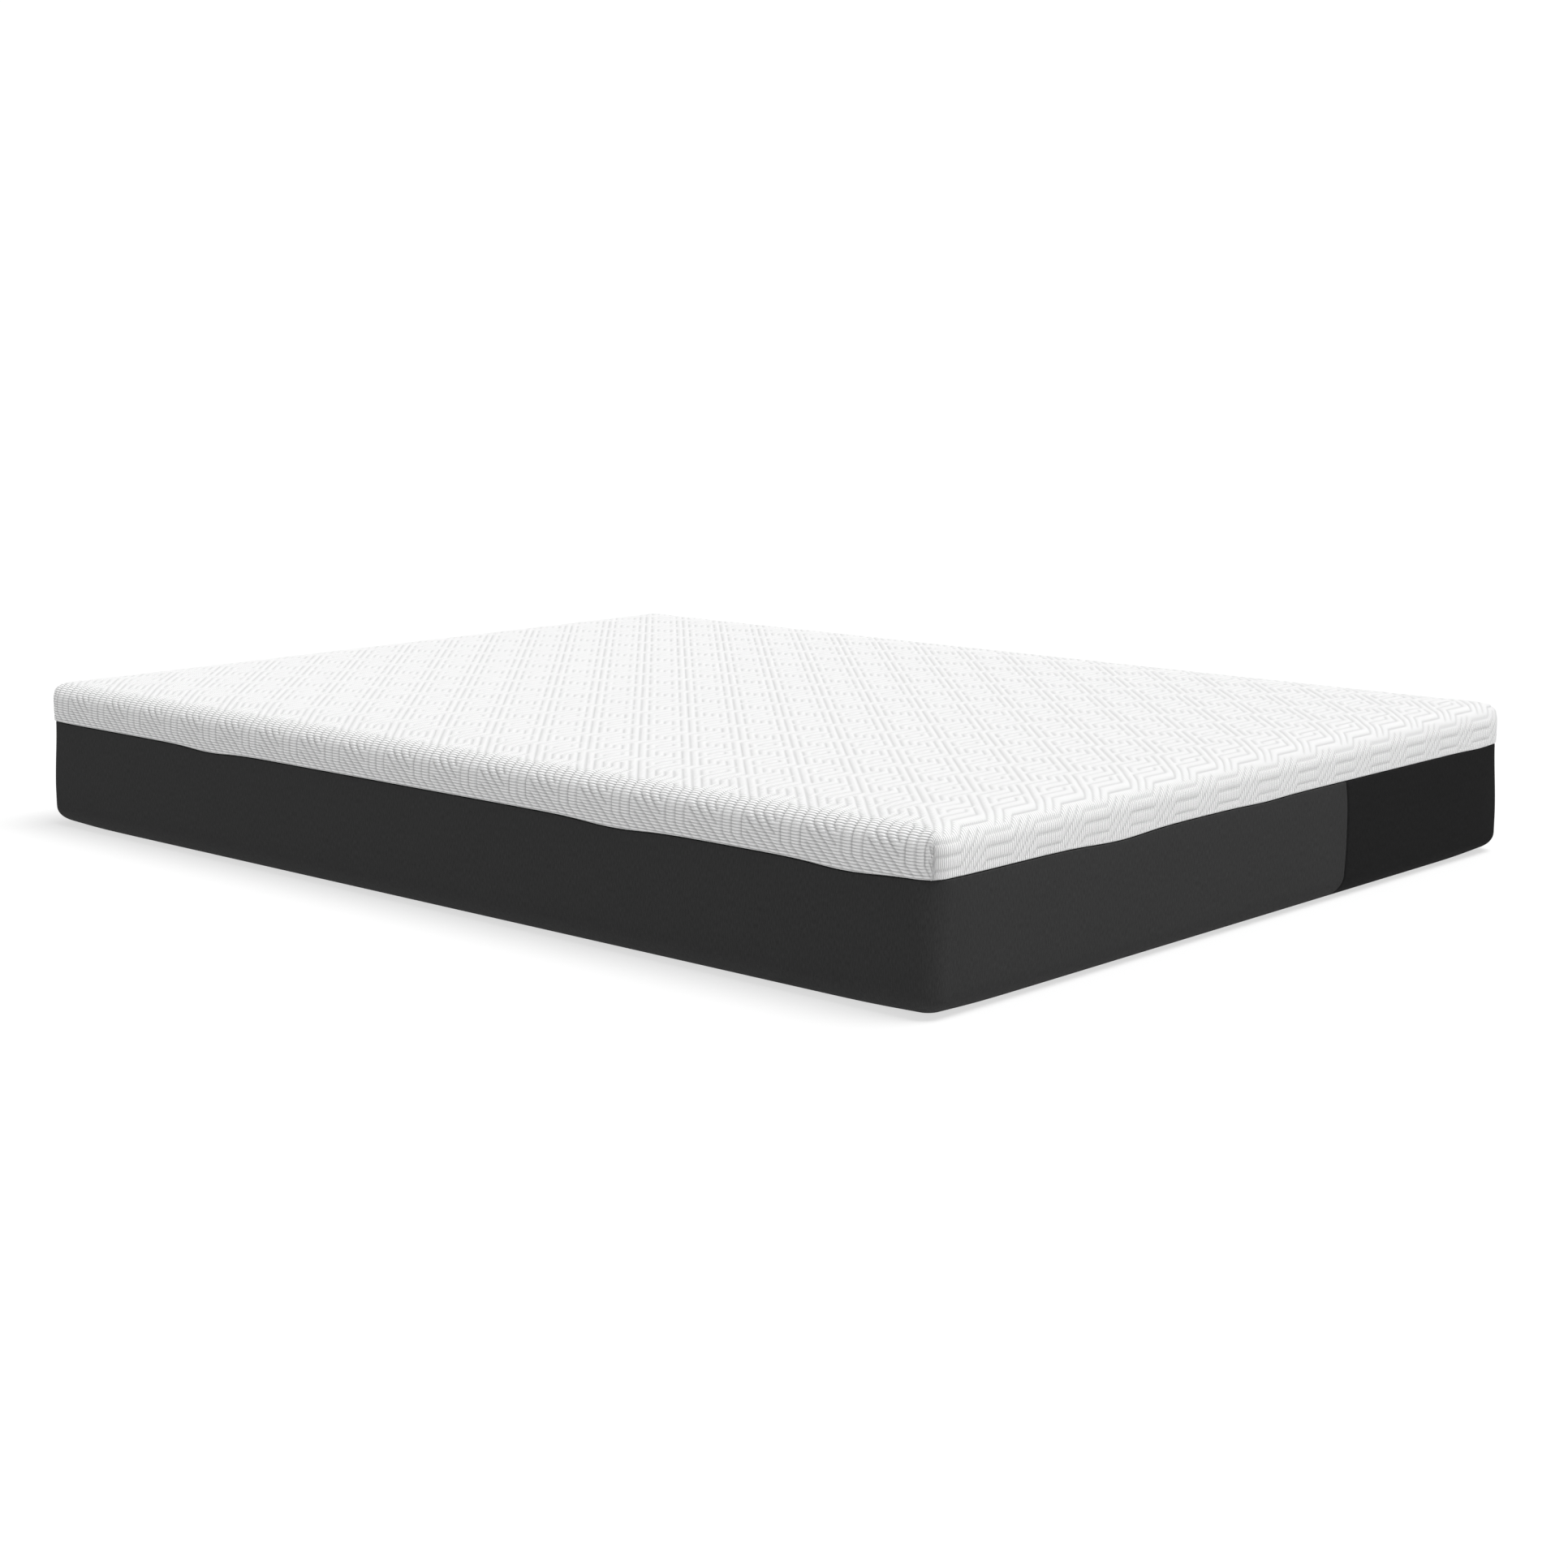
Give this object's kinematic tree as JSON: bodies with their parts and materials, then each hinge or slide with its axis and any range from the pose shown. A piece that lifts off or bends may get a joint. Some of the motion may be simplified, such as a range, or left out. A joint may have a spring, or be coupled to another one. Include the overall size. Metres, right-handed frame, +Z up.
{
  "type": "memory foam mattress",
  "caption": "Queen-size memory foam mattress: glued foam layers in a zipped knit cover with a quilted white top, a grey border and a black corner panel.",
  "frame": {"origin": "centre of the underside, on the surface that the mattress lies on", "axes": "+Z up, +X across the width, +Y along the length to the head end, where the zip is; the black panel is at the foot end's +X corner"},
  "size_m": [1.524, 2.032, 0.254],
  "materials": {
    "quilt_knit": "matte",
    "wadding": "matte",
    "backing": "matte",
    "white_seam": "matte",
    "dark_seam": "matte",
    "gray_knit": "matte",
    "black_knit": "matte",
    "base_cloth": "matte",
    "padding": "matte",
    "sock_knit": "matte",
    "memory_foam": "matte",
    "transition_foam": "matte",
    "support_foam": "matte",
    "label_cloth": "matte",
    "zip_tape": "matte",
    "zip_coil": "satin",
    "zip_metal": "satin"
  },
  "bodies": {
    "mattress": {"quilt_knit_face": "quilt_knit", "quilt_wadding": "wadding", "quilt_backing": "backing", "corner_seams": "white_seam", "cap_border_seam": "dark_seam", "border_gray": "gray_knit", "border_black": "black_knit", "panel_join_seams": "dark_seam", "bottom_panel": "base_cloth", "bottom_seam": "dark_seam", "cover_padding": "padding", "fire_sock": "sock_knit", "memory_foam_layer": "memory_foam", "transition_foam_layer": "transition_foam", "support_foam_core": "support_foam", "care_label": "label_cloth", "zip_tape_upper": "zip_tape", "zip_tape_lower": "zip_tape", "zip_coils": "zip_coil", "zip_end_stops": "zip_metal"},
    "slider": {"zip_slider": "zip_metal"},
    "pull": {"zip_pull": "zip_metal"}
  },
  "joints": [
    {"name": "zip_run", "type": "slide", "parent": "mattress", "child": "slider", "axis": [-1, 0, 0], "range_m": [0, 1.364]},
    {"name": "pull_swing", "type": "hinge", "parent": "slider", "child": "pull", "pos_m": [0.682, 1.0146, 0.056], "axis": [0, 0, -1], "range_deg": [0, 180]}
  ]
}
